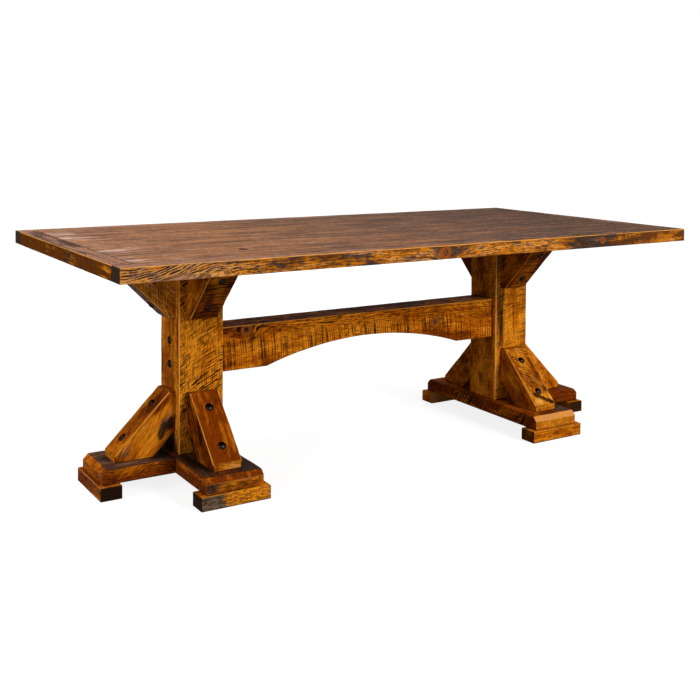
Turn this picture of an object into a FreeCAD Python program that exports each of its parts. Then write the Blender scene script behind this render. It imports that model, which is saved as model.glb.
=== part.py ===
import FreeCAD, Part
import math
import os

# Trestle dining table in millimetres. X runs along the length, the front faces -Y and Z is up.
# The origin is on the floor under the middle of the top.

V = FreeCAD.Vector

# Top
TABLE_LENGTH = 2134.0
TABLE_HEIGHT = 762.0
TOP_THICKNESS = 44.0
EDGE_BOARD_WIDTH = 62.0
END_BOARD_WIDTH = 60.0
PLANK_WIDTHS = (175.0, 167.0, 149.0, 243.0, 209.0)
TONGUE_THICKNESS = 12.0
TONGUE_DEPTH = 12.0
TENON_SETBACK = 20.0

# Trestles
END_OVERHANG = 427.0
POST_WIDTH = 152.0
FOOT_REACH = 341.0
FOOT_WIDTH = 190.0
FOOT_HEIGHT = 47.0
FOOT_BEVEL = 17.0
TOE_LENGTH = 228.0
TOE_WIDTH = 68.0
TOE_HEIGHT = 42.0
TOE_MARGIN = 10.0
POST_TENON_X = 60.0
POST_TENON_Y = 80.0
POST_TENON_LENGTH = 30.0
FOOT_TENON_WIDTH = 110.0
FOOT_TENON_THICKNESS = 18.0
FOOT_TENON_LENGTH = 36.0

# Braces: a square timber cut at 45 degrees, with its two tips nipped off
BRACE_LEG = 198.0
BRACE_NIP = 22.0
BRACE_DEPTH = 102.0
BRACE_WIDTH = 96.0

# Stretcher, level with the middle of the posts
STRETCHER_HEIGHT = 145.0
STRETCHER_THICKNESS = 112.0
ARCH_FLAT = 169.0
ARCH_RISE = 64.0

# Bolts and screws
BOLT_SHANK = 10.0
BOLT_HEAD = 26.0
BOLT_DOME = 7.0
BOLT_RIM = 1.5
BRACE_BOLT_SPACING = 136.0
BRACE_BOLT_BITE = 28.0
STRETCHER_BOLT_SPACING = 76.0
STRETCHER_BOLT_BITE = 80.0
SCREW_SHANK = 6.0
SCREW_HEAD = 12.0
SCREW_HEAD_HEIGHT = 4.0
SCREW_SINK = 9.0
SCREW_SPACING = 120.0
SCREW_BITE = 26.0

# Clearances and eased arrises
JOINT_PLAY = 0.3
JOINT_DEPTH_PLAY = 1.0
HOLE_PLAY = 0.3
TIMBER_EASE = 3.0
BOARD_EASE = 2.5
SEAM_EASE = 1.2

# Places that follow from the sizes
DECK_WIDTH = sum(PLANK_WIDTHS)
DECK_LENGTH = TABLE_LENGTH - 2 * END_BOARD_WIDTH
TABLE_WIDTH = DECK_WIDTH + 2 * EDGE_BOARD_WIDTH
UNDERSIDE = TABLE_HEIGHT - TOP_THICKNESS
TONGUE_LOW = UNDERSIDE + (TOP_THICKNESS - TONGUE_THICKNESS) / 2
TONGUE_HIGH = TONGUE_LOW + TONGUE_THICKNESS
GROOVE_DEPTH = TONGUE_DEPTH + JOINT_DEPTH_PLAY
FOOT_TOP = TOE_HEIGHT + FOOT_HEIGHT
POST_MIDDLE = (FOOT_TOP + UNDERSIDE) / 2
TRESTLE_X = TABLE_LENGTH / 2 - END_OVERHANG
STRETCHER_END = TRESTLE_X - POST_WIDTH / 2
BRACE_SLOPE = BRACE_LEG + BRACE_NIP
BRACE_INNER = BRACE_SLOPE - BRACE_DEPTH * math.sqrt(2)
ARMS = {"front": -90, "back": 90, "end": 0}


def box(x0, x1, y0, y1, z0, z1):
    """Box between two corners."""
    return Part.makeBox(x1 - x0, y1 - y0, z1 - z0, V(x0, y0, z0))


def prism(outline, run):
    """Solid swept straight along run from a closed outline of points."""
    wire = Part.makePolygon(outline + outline[:1])
    return Part.Face(wire).extrude(run)


def lies(edge, axis, value):
    """True where a whole edge lies at one value of x, y or z (axis 0, 1 or 2)."""
    return all(abs(v.Point[axis] - value) < 1e-4 for v in edge.Vertexes)


def ease(shape, size, wanted):
    """Shape with a small bevel on each edge that wanted() picks."""
    return shape.makeChamfer(size, [e for e in shape.Edges if wanted(e)])


def cut_all(shape, cutters):
    """Shape with every cutter taken away."""
    return shape.cut(cutters).removeSplitter()


def edge_board(side):
    """Long rim board at the front (side -1) or back (side 1), with a stopped groove inside."""
    inner = DECK_WIDTH / 2
    outer = TABLE_WIDTH / 2
    end = TABLE_LENGTH / 2
    board = box(-end, end, inner, outer, UNDERSIDE, TABLE_HEIGHT)
    board = ease(board, SEAM_EASE, lambda e: lies(e, 1, inner) and lies(e, 2, TABLE_HEIGHT))

    def exposed(e):
        at_end = lies(e, 0, end) or lies(e, 0, -end)
        level = lies(e, 2, TABLE_HEIGHT) or lies(e, 2, UNDERSIDE)
        return lies(e, 1, outer) or (at_end and level)

    board = ease(board, BOARD_EASE, exposed)
    stop = end - TENON_SETBACK + JOINT_PLAY
    groove = box(-stop, stop, inner - 1, inner + GROOVE_DEPTH,
                 TONGUE_LOW - JOINT_PLAY, TONGUE_HIGH + JOINT_PLAY)
    board = cut_all(board, [groove])
    return board if side > 0 else board.mirror(V(0, 0, 0), V(0, 1, 0))


def end_board():
    """Short rim board at the right end: groove inside, stub tenon at each end."""
    inner = DECK_LENGTH / 2
    outer = TABLE_LENGTH / 2
    half = DECK_WIDTH / 2
    board = box(inner, outer, -half, half, UNDERSIDE, TABLE_HEIGHT)
    board = ease(board, SEAM_EASE, lambda e: lies(e, 0, inner) and lies(e, 2, TABLE_HEIGHT))

    def exposed(e):
        return lies(e, 0, outer) and (lies(e, 2, TABLE_HEIGHT) or lies(e, 2, UNDERSIDE))

    board = ease(board, BOARD_EASE, exposed)
    reach = half + TONGUE_DEPTH
    tenon = box(inner, outer - TENON_SETBACK, -reach, reach, TONGUE_LOW, TONGUE_HIGH)
    groove = box(inner - 1, inner + GROOVE_DEPTH, -reach - 1, reach + 1,
                 TONGUE_LOW - JOINT_PLAY, TONGUE_HIGH + JOINT_PLAY)
    return cut_all(board.fuse(tenon), [groove])


def deck_plank(number, holes):
    """Lengthwise plank: tongue at both ends and along its back, groove (first plank: tongue) in front."""
    front = -DECK_WIDTH / 2 + sum(PLANK_WIDTHS[:number])
    back = front + PLANK_WIDTHS[number]
    end = DECK_LENGTH / 2
    plank = box(-end, end, front, back, UNDERSIDE, TABLE_HEIGHT)
    plank = ease(plank, SEAM_EASE, lambda e: lies(e, 2, TABLE_HEIGHT))
    tip = end + TONGUE_DEPTH
    tongues = [box(-tip, tip, front, back, TONGUE_LOW, TONGUE_HIGH),
               box(-end, end, back, back + TONGUE_DEPTH, TONGUE_LOW, TONGUE_HIGH)]
    cutters = list(holes)
    if number == 0:
        tongues.append(box(-end, end, front - TONGUE_DEPTH, front, TONGUE_LOW, TONGUE_HIGH))
    else:
        cutters.append(box(-tip - 1, tip + 1, front - 1, front + GROOVE_DEPTH,
                           TONGUE_LOW - JOINT_PLAY, TONGUE_HIGH + JOINT_PLAY))
    return cut_all(plank.fuse(tongues), cutters)


def on_arm(shape, arm):
    """Copy of a shape built out along +X from a post's axis, turned to one arm of the right trestle."""
    turned = shape.copy()
    turned.rotate(V(0, 0, 0), V(0, 0, 1), ARMS[arm])
    turned.translate(V(TRESTLE_X, 0, 0))
    return turned


def turned_over(shape):
    """Mirror of a lower piece about the post's mid height, which makes the upper one."""
    return shape.mirror(V(0, 0, POST_MIDDLE), V(0, 0, 1))


def left_hand(shape):
    """Mirror of a right trestle's piece for the left trestle."""
    return shape.mirror(V(0, 0, 0), V(1, 0, 0))


def domed_bolt(seat, way, length):
    """Lag bolt whose round domed head stands on seat and whose pointed shank runs along way."""
    head = BOLT_HEAD / 2
    shank = BOLT_SHANK / 2
    rise = BOLT_DOME - BOLT_RIM
    ball = (head ** 2 + rise ** 2) / (2 * rise)
    half_angle = math.asin(head / ball) / 2
    middle = V(ball * math.sin(half_angle), 0, BOLT_DOME - ball + ball * math.cos(half_angle))
    dome = Part.Arc(V(0, 0, BOLT_DOME), middle, V(head, 0, BOLT_RIM)).toShape()
    rest = Part.makePolygon([V(head, 0, BOLT_RIM), V(head, 0, 0), V(shank, 0, 0),
                             V(shank, 0, shank - length), V(0, 0, -length), V(0, 0, BOLT_DOME)])
    section = Part.Face(Part.Wire([dome] + rest.Edges))
    bolt = section.revolve(V(0, 0, 0), V(0, 0, 1), 360)
    bolt.Placement = FreeCAD.Placement(seat, FreeCAD.Rotation(V(0, 0, -1), way))
    return bolt


def bolt_hole(seat, way, length):
    """Cutter for a bolt's shank, open past the seat."""
    radius = BOLT_SHANK / 2 + HOLE_PLAY
    return Part.makeCylinder(radius, length + JOINT_DEPTH_PLAY + 1, seat - way, way)


def brace_bolt_places():
    """Seat, direction and length of a lower brace's two bolts, square to its slope."""
    middle = BRACE_SLOPE / 2
    along = BRACE_BOLT_SPACING / 2 / math.sqrt(2)
    length = (middle - along + BRACE_BOLT_BITE) * math.sqrt(2)
    way = V(-1, 0, -1).normalize()
    face = POST_WIDTH / 2
    return [(V(face + middle - k * along, 0, FOOT_TOP + middle + k * along), way, length) for k in (1, -1)]


def stretcher_bolt_places():
    """Seat, direction and length of the two bolts from the right post's outer face into the stretcher."""
    length = POST_WIDTH + STRETCHER_BOLT_BITE
    x = TRESTLE_X + POST_WIDTH / 2
    return [(V(x, 0, POST_MIDDLE + k * STRETCHER_BOLT_SPACING / 2), V(-1, 0, 0), length) for k in (1, -1)]


def toe_screw(y):
    """Screw up through a toe block: pan head in a counterbore, shank into the foot."""
    x = FOOT_REACH - TOE_WIDTH / 2
    shank = Part.makeCylinder(SCREW_SHANK / 2, TOE_HEIGHT + SCREW_BITE - SCREW_SINK, V(x, y, SCREW_SINK))
    head = Part.makeCylinder(SCREW_HEAD / 2, SCREW_HEAD_HEIGHT, V(x, y, SCREW_SINK - SCREW_HEAD_HEIGHT))
    return head.fuse(shank).removeSplitter()


def toe_screw_hole(y):
    """Cutter for one toe block screw and its counterbore."""
    x = FOOT_REACH - TOE_WIDTH / 2
    top = TOE_HEIGHT + SCREW_BITE + JOINT_DEPTH_PLAY
    shank = Part.makeCylinder(SCREW_SHANK / 2 + HOLE_PLAY, top, V(x, y, 0))
    sink = Part.makeCylinder(SCREW_HEAD / 2 + HOLE_PLAY, SCREW_SINK + 1, V(x, y, -1))
    return shank.fuse(sink)


def brace(holes):
    """Lower brace on the +X arm: 45 degree slope outside, parallel slope inside, nipped tips."""
    face = POST_WIDTH / 2
    profile = [(0, BRACE_INNER), (0, BRACE_LEG), (BRACE_NIP, BRACE_LEG),
               (BRACE_LEG, BRACE_NIP), (BRACE_LEG, 0), (BRACE_INNER, 0)]
    half = BRACE_WIDTH / 2
    solid = prism([V(face + r, -half, FOOT_TOP + h) for r, h in profile], V(0, BRACE_WIDTH, 0))

    def outside(e):
        beside = lies(e, 1, half) or lies(e, 1, -half)
        out = all(v.Point.x - face + v.Point.z - FOOT_TOP > BRACE_LEG - 1e-4 for v in e.Vertexes)
        return beside and out

    return cut_all(ease(solid, TIMBER_EASE, outside), holes)


def post(holes):
    """Square post of the right trestle with eased arrises and a stub tenon under it."""
    half = POST_WIDTH / 2
    timber = box(TRESTLE_X - half, TRESTLE_X + half, -half, half, FOOT_TOP, UNDERSIDE)
    timber = ease(timber, TIMBER_EASE, lambda e: abs(e.Length - (UNDERSIDE - FOOT_TOP)) < 1e-4)
    tenon = box(TRESTLE_X - POST_TENON_X / 2, TRESTLE_X + POST_TENON_X / 2,
                -POST_TENON_Y / 2, POST_TENON_Y / 2, FOOT_TOP - POST_TENON_LENGTH, FOOT_TOP)
    return cut_all(timber.fuse(tenon), holes)


def foot_outline(near, far):
    """Side view of a foot from near to far: distance and height, bevelled on top at each free end."""
    outline = [(near, TOE_HEIGHT), (near, FOOT_TOP)]
    if near < 0:
        outline = [(near, TOE_HEIGHT), (near, FOOT_TOP - FOOT_BEVEL), (near + FOOT_BEVEL, FOOT_TOP)]
    return outline + [(far - FOOT_BEVEL, FOOT_TOP), (far, FOOT_TOP - FOOT_BEVEL), (far, TOE_HEIGHT)]


def eased_foot(near, far):
    """Foot beam along +X from the post's axis, with its upper side arrises eased."""
    half = FOOT_WIDTH / 2
    beam = prism([V(r, -half, h) for r, h in foot_outline(near, far)], V(0, FOOT_WIDTH, 0))

    def upper(e):
        beside = lies(e, 1, half) or lies(e, 1, -half)
        raised = all(v.Point.z > TOE_HEIGHT + 1 for v in e.Vertexes)
        butt = near > 0 and lies(e, 0, near)
        return beside and raised and not butt

    return ease(beam, TIMBER_EASE, upper)


def cross_foot(holes):
    """Foot across the table, mortised on top for the post and in its outer side for the end foot."""
    far = FOOT_REACH - TOE_MARGIN
    beam = on_arm(eased_foot(-far, far), "back")
    x = POST_TENON_X / 2 + JOINT_PLAY
    y = POST_TENON_Y / 2 + JOINT_PLAY
    deep = FOOT_TOP - POST_TENON_LENGTH - JOINT_DEPTH_PLAY
    post_mortise = box(TRESTLE_X - x, TRESTLE_X + x, -y, y, deep, FOOT_TOP + 1)
    side = TRESTLE_X + FOOT_WIDTH / 2
    half = FOOT_TENON_WIDTH / 2 + JOINT_PLAY
    middle = TOE_HEIGHT + FOOT_HEIGHT / 2
    thick = FOOT_TENON_THICKNESS / 2 + JOINT_PLAY
    foot_mortise = box(side - FOOT_TENON_LENGTH - JOINT_DEPTH_PLAY, side + 1, -half, half,
                       middle - thick, middle + thick)
    return cut_all(beam, [post_mortise, foot_mortise] + holes)


def end_foot(holes):
    """Foot toward the table's right end, tenoned into the cross foot."""
    side = FOOT_WIDTH / 2
    beam = on_arm(eased_foot(side, FOOT_REACH - TOE_MARGIN), "end")
    middle = TOE_HEIGHT + FOOT_HEIGHT / 2
    thick = FOOT_TENON_THICKNESS / 2
    tenon = box(TRESTLE_X + side - FOOT_TENON_LENGTH, TRESTLE_X + side,
                -FOOT_TENON_WIDTH / 2, FOOT_TENON_WIDTH / 2, middle - thick, middle + thick)
    return cut_all(beam.fuse(tenon), holes)


def toe_block(holes):
    """Cross-grain block under the end of the +X arm, eased all round its top and corners."""
    half = TOE_LENGTH / 2
    block = box(FOOT_REACH - TOE_WIDTH, FOOT_REACH, -half, half, 0, TOE_HEIGHT)
    return cut_all(ease(block, BOARD_EASE, lambda e: not lies(e, 2, 0)), holes)


def stretcher(holes):
    """Beam between the posts: straight top, circular arch below, flat at both ends."""
    end = STRETCHER_END
    half = STRETCHER_THICKNESS / 2
    spring = end - ARCH_FLAT
    low = POST_MIDDLE - STRETCHER_HEIGHT / 2
    high = POST_MIDDLE + STRETCHER_HEIGHT / 2
    straight = Part.makePolygon([V(spring, -half, low), V(end, -half, low), V(end, -half, high),
                                 V(-end, -half, high), V(-end, -half, low), V(-spring, -half, low)])
    arch = Part.Arc(V(-spring, -half, low), V(0, -half, low + ARCH_RISE), V(spring, -half, low)).toShape()
    beam = Part.Face(Part.Wire(straight.Edges + [arch])).extrude(V(0, STRETCHER_THICKNESS, 0))

    def lengthwise(e):
        beside = lies(e, 1, half) or lies(e, 1, -half)
        return beside and not (lies(e, 0, end) or lies(e, 0, -end))

    return cut_all(ease(beam, TIMBER_EASE, lengthwise), holes)


def right_trestle():
    """Pieces of the right trestle by name, and the holes that its bolts make in the top and stretcher."""
    brace_places = brace_bolt_places()
    holes = [bolt_hole(*place) for place in brace_places]
    bolts = [domed_bolt(*place) for place in brace_places]
    lower_holes = {arm: [on_arm(h, arm) for h in holes] for arm in ARMS}
    upper_holes = {arm: [turned_over(h) for h in lower_holes[arm]] for arm in ARMS}
    all_lower = [h for arm in ARMS for h in lower_holes[arm]]
    all_upper = [h for arm in ARMS for h in upper_holes[arm]]
    stretcher_holes = [bolt_hole(*place) for place in stretcher_bolt_places()]
    rows = (SCREW_SPACING / 2, -SCREW_SPACING / 2)
    screw_holes = [toe_screw_hole(y) for y in rows]
    all_screw_holes = [on_arm(h, arm) for arm in ARMS for h in screw_holes]
    lower_bolts = [on_arm(b, arm) for arm in ARMS for b in bolts]
    pieces = {
        "post": post(all_lower + all_upper + stretcher_holes),
        "cross_foot": cross_foot(all_lower + all_screw_holes),
        "end_foot": end_foot(all_lower + all_screw_holes),
        "lower_brace_bolts": Part.makeCompound(lower_bolts),
        "upper_brace_bolts": Part.makeCompound([turned_over(b) for b in lower_bolts]),
        "stretcher_bolts": Part.makeCompound([domed_bolt(*place) for place in stretcher_bolt_places()]),
        "toe_block_screws": Part.makeCompound([on_arm(toe_screw(y), arm) for arm in ARMS for y in rows]),
    }
    lower_brace = brace(holes)
    block = toe_block(screw_holes)
    for arm in ARMS:
        pieces["lower_brace_" + arm] = on_arm(lower_brace, arm)
        pieces["upper_brace_" + arm] = turned_over(pieces["lower_brace_" + arm])
        pieces["toe_block_" + arm] = on_arm(block, arm)
    return pieces, all_upper, stretcher_holes


def table():
    """Every piece of the table by name."""
    trestle, top_holes, stretcher_holes = right_trestle()
    top_holes = top_holes + [left_hand(h) for h in top_holes]
    stretcher_holes = stretcher_holes + [left_hand(h) for h in stretcher_holes]
    pieces = {
        "edge_board_front": edge_board(-1),
        "edge_board_back": edge_board(1),
        "end_board_right": end_board(),
        "end_board_left": left_hand(end_board()),
        "stretcher": stretcher(stretcher_holes),
    }
    for number in range(len(PLANK_WIDTHS)):
        pieces["deck_plank_%d" % (number + 1)] = deck_plank(number, top_holes)
    for name, shape in trestle.items():
        pieces[name + "_right"] = shape
        pieces[name + "_left"] = left_hand(shape)
    return pieces


os.makedirs("parts", exist_ok=True)
for node, piece in sorted(table().items()):
    piece.exportStep("parts/%s.step" % node)
    print(node, len(piece.Solids), "solids", round(piece.Volume / 1000), "cm3", piece.isValid())
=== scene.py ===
import math

import bpy
import numpy as np
from mathutils import Matrix


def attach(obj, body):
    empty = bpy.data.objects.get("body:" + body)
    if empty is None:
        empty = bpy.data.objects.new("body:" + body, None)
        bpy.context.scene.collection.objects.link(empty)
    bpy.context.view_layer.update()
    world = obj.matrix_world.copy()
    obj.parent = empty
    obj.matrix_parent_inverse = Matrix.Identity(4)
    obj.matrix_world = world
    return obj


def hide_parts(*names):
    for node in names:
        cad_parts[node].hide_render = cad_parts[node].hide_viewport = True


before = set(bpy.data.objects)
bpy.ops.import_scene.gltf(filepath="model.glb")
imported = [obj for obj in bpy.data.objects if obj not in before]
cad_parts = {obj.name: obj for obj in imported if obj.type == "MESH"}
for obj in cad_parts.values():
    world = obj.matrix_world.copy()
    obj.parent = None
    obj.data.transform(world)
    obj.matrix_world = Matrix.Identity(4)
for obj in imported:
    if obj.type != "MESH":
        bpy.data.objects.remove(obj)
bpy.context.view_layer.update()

# Sizes of the table in metres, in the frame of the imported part
TOP = 0.762
UNDERSIDE = 0.718
HALF_LENGTH = 1.067
HALF_WIDTH = 0.5335
HALF_DECK_LENGTH = 1.007
SEAMS = (-0.4715, -0.2965, -0.1295, 0.0195, 0.2625, 0.4715)
TRESTLE_X = 0.640
HALF_POST = 0.076
FOOT_TOP = 0.089
FOOT_END = 0.331
HALF_FOOT = 0.095
FOOT_BEVEL = 0.017
TOE_TOP = 0.042
TOE_REACH = 0.341
TOE_WIDTH = 0.068
HALF_TOE = 0.114
STRETCHER_END = 0.564
HALF_STRETCHER = 0.056
STRETCHER_LOW = 0.331
STRETCHER_HIGH = 0.476
ARCH_HALF = 0.395
ARCH_RISE = 0.064
BRACE_LEG = 0.198
BRACE_NIP = 0.022
BRACE_DEPTH = 0.102
HALF_BRACE = 0.048
BRACE_BOLT = 0.068
STRETCHER_BOLTS = (0.3655, 0.4415)
BOLT_RADIUS = 0.013
BOLT_DOME = 0.007
BOLT_RIM = 0.0015
BOLT_NECK = 0.005
BOLT_SUNK = 0.006
BOLT_FACETS = 36
SEAT_GAP = 0.00015

X, Y, Z = np.eye(3)
ROOT2 = math.sqrt(2)
BRACE_OUT = (BRACE_LEG + BRACE_NIP) / ROOT2
BRACE_IN = BRACE_OUT - BRACE_DEPTH
BRACE_HALF = BRACE_LEG / ROOT2
SIDES = ("a-", "a+", "b-", "b+", "c-", "c+")
HANDS = (("left", -1), ("right", 1))
LEVELS = (("lower", 1), ("upper", -1))

# Radii of a sharp arris, one on a seam, one on a board or block and one on a timber, and these by corner
HARD = 0.0005
SEAM = 0.0012
BOARD = 0.0025
ROUND = 0.003
SEAM_TOP = (HARD, SEAM, HARD, SEAM)
BOARD_TOP = (HARD, BOARD, HARD, BOARD)
ROUND_TOP = (HARD, ROUND, HARD, ROUND)
SEAM_BEFORE = (HARD, SEAM, BOARD, BOARD)
SEAM_AFTER = (BOARD, BOARD, HARD, SEAM)

# Depth of chips and of sawn unevenness, reach from an arris of its light edge (abraded wood and painted
# highlight) and of the painted shade along a tight seam, gaps of grid lines
CHIP = 0.003
UNEVEN = 0.0004
BARE_AND_HIGHLIGHT_REACH = 0.008
SEAM_SHADE_REACH = 0.006
ARRIS_GAP = 0.003
BREAK_GAP = 0.0008


# Block shapes

def grid_lines(low, high, step, edge, extra):
    """Places of grid lines from low to high: close together beside both ends, where the arris is
    eased, evenly spaced by about step between them, and one line through each extra place."""
    near = edge * np.array([0.0, 0.6, 1.2, 2.4])
    count = max(2, int(np.ceil((high - low - 2 * near[-1]) / step)) + 1)
    even = np.linspace(low + near[-1], high - near[-1], count)
    extra = np.asarray(extra, float)
    if len(extra):
        even = even[np.abs(even[:, None] - extra).min(1) > 0.4 * step]
    return np.unique(np.round(np.concatenate([low + near, even, high - near, extra]), 7))


def block_skin(lines):
    """Closed skin of a block on three sets of grid lines: the crossings that lie on its outside, and
    quads between neighbours on each of its six sides, turned to face outwards."""
    shape = tuple(len(line) for line in lines)
    outside = np.zeros(shape, bool)
    for axis in range(3):
        rows = np.moveaxis(outside, axis, 0)
        rows[[0, -1]] = True
    number = np.full(shape, -1)
    number[outside] = np.arange(outside.sum())
    points = np.stack([line[i] for line, i in zip(lines, np.nonzero(outside))], 1)
    quads = []
    for axis in range(3):
        for end in (0, -1):
            n = np.take(number, end, axis)
            quad = np.stack([n[:-1, :-1], n[1:, :-1], n[1:, 1:], n[:-1, 1:]], -1).reshape(-1, 4)
            quads.append(quad[:, ::-1] if (axis == 1) != (end == 0) else quad)
    return points, np.concatenate(quads)


def by_corner(points, axes, middle, values):
    """One of four values for each point, by its quarter in the plane of two axes: low low, low high,
    high low, high high."""
    quarter = 2 * (points[:, axes[0]] > middle[axes[0]]) + (points[:, axes[1]] > middle[axes[1]])
    return np.broadcast_to(np.asarray(values, float), (4,))[quarter]


def round_arris(points, axes, low, high, radius):
    """Eases the four arrises square to two axes: within one radius of a corner, concentric squares go
    to concentric circles, so the square corner becomes a quarter circle."""
    core = [np.clip(points[:, k], low[k] + radius, high[k] - radius) for k in axes]
    over = [points[:, k] - c for k, c in zip(axes, core)]
    square = np.maximum(np.abs(over[0]), np.abs(over[1]))
    share = square / np.maximum(np.hypot(*over), 1e-9)
    for k, c, o in zip(axes, core, over):
        points[:, k] = c + o * np.where(square > 1e-9, share, 1.0)


def waves(points, length, seed, count=7):
    """Smooth unevenness of about one unit: the sum of sine waves of random direction and phase, each
    about length long."""
    draw = np.random.default_rng(seed)
    way = draw.normal(size=(3, count))
    way /= np.linalg.norm(way, axis=0)
    pace = 2 * np.pi * draw.uniform(0.7, 1.4, count) / length
    return np.sin(points @ (way * pace) + draw.uniform(0, 2 * np.pi, count)).sum(1) / math.sqrt(count)


def arch(points):
    """Stretcher's underside: between the springs the lower side follows a circle that rises at the
    middle, and the height between it and the straight top is shared out evenly."""
    radius = (ARCH_HALF ** 2 + ARCH_RISE ** 2) / (2 * ARCH_RISE)
    along = np.minimum(np.abs(points[:, 0]), ARCH_HALF)
    rise = np.sqrt(radius ** 2 - along ** 2) - (radius - ARCH_RISE)
    share = (STRETCHER_HIGH - points[:, 2]) / (STRETCHER_HIGH - STRETCHER_LOW)
    points[:, 2] += rise * share


def foot_bevel(points):
    """Foot's top falls by as much as it runs over the last bevel length before each free end; the
    height under it is shared out evenly."""
    drop = np.clip(np.abs(points[:, 0]) - (FOOT_END - FOOT_BEVEL), 0, FOOT_BEVEL)
    points[:, 2] -= drop * (points[:, 2] - TOE_TOP) / (FOOT_TOP - TOE_TOP)


def brace_mitre(points):
    """Brace's half length at each depth: it grows at 45 degrees from the inner slope to the tips and
    shrinks at 45 degrees over the nipped corners."""
    depth = points[:, 2]
    half = np.minimum(depth, ROOT2 * BRACE_LEG - depth)
    points[:, 0] *= half / BRACE_HALF


# Wood

def side_points(points, side):
    """Index of the axis that a side is square to, and the two coordinates that run along it."""
    axis = "abc".index(side[0])
    return axis, *[points[:, k] for k in range(3) if k != axis]


def across_grain(side):
    """Index of the axis that runs across the grain on a long side."""
    return 2 if side[0] == "b" else 1


def spot(points, on, side, p0, q0, long, wide):
    """Soft round spot on one side: one at its middle, falling off as a bell curve."""
    _, p, q = side_points(points, side)
    return on[side] * np.exp(-((p - p0) / long) ** 2 - ((q - q0) / wide) ** 2)


def sawn_side(points, side, middle, look, draw):
    """Saw strokes on one side: how many strokes a point is along the saw's way (a line turned by the
    angle from the grain, bowed like a big round blade), the strokes' strength, and the place along a
    stroke."""
    _, p, q = side_points(points - middle, side)
    turn = math.radians(look["angle"])
    away = p * math.cos(turn) + q * math.sin(turn) + (q - draw.uniform(-0.03, 0.03)) ** 2 / 1.1
    reach = (q * math.cos(turn) - p * math.sin(turn)) * look["short"] + draw.uniform(0, 9)
    return np.stack([away / look["pitch"] + draw.uniform(0, 50), 0 * p + look["strokes"], reach], 1)


def knot_marks(points, low, high, knots):
    """Knots by side, place and size: how far the grain is bent aside (as a stream goes round a post),
    the distance to the nearest knot in knot radii, and the dent round it. A hidden knot is set farther
    off, so that it bends the grain and shows no rings."""
    bend, near, dent = np.zeros(len(points)), np.full(len(points), 4.0), np.zeros(len(points))
    for side, p0, q0, size, *hidden in knots:
        axis, p, q = side_points(points, side)
        depth = high[axis] - points[:, axis] if side[1] == "+" else points[:, axis] - low[axis]
        fade = np.exp(-(np.maximum(depth, 0) / (1.5 * size)) ** 2)
        run, rise = (p - p0) / size, (q - q0) / size
        stream = np.maximum((0.45 * run) ** 2 + rise ** 2, 1.0)
        bend -= 0.9 * fade * (q - q0) / stream
        near = np.minimum(near, np.hypot(run, rise) + 3 * (1 - fade) + (2 if hidden else 0))
        dent += 0.0006 * fade * np.exp(-((np.hypot(run, rise) - 1.05) / 0.35) ** 2)
    return bend, near, dent


def check_cut(points, on, side, p0, p1, q0, width):
    """Drying check along the grain from p0 to p1: depth share of its V cut, and how far it wanders."""
    _, p, q = side_points(points, side)
    taper = np.clip((p - p0) * (p1 - p) / (0.25 * (p1 - p0) ** 2), 0, 1) ** 0.5
    cut = np.clip(1 - np.abs(q - q0) / (0.75 * width), 0, 1) * taper
    wander = 0.004 * np.sin(9 * p + q0) + 0.0015 * np.sin(41 * p)
    return on[side] * cut, on[side] * wander * np.exp(-((q - q0) / 0.012) ** 2)


def chipped(points, low, high, seed):
    """Extra arris radius in a few chips: bell curves along the grain at random places, each on one of
    the four long arrises."""
    draw = np.random.default_rng(seed + 300)
    middle = (low + high) / 2
    quarter = 2 * (points[:, 1] > middle[1]) + (points[:, 2] > middle[2])
    chips = np.zeros(len(points))
    for _ in range(int(4 + 5 * (high[0] - low[0]))):
        at, corner = draw.uniform(low[0] + 0.02, high[0] - 0.02), draw.integers(4)
        chips += (quarter == corner) * draw.uniform(0.3, 1) * CHIP * np.exp(
            -((points[:, 0] - at) / draw.uniform(0.006, 0.02)) ** 2)
    return chips


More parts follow.
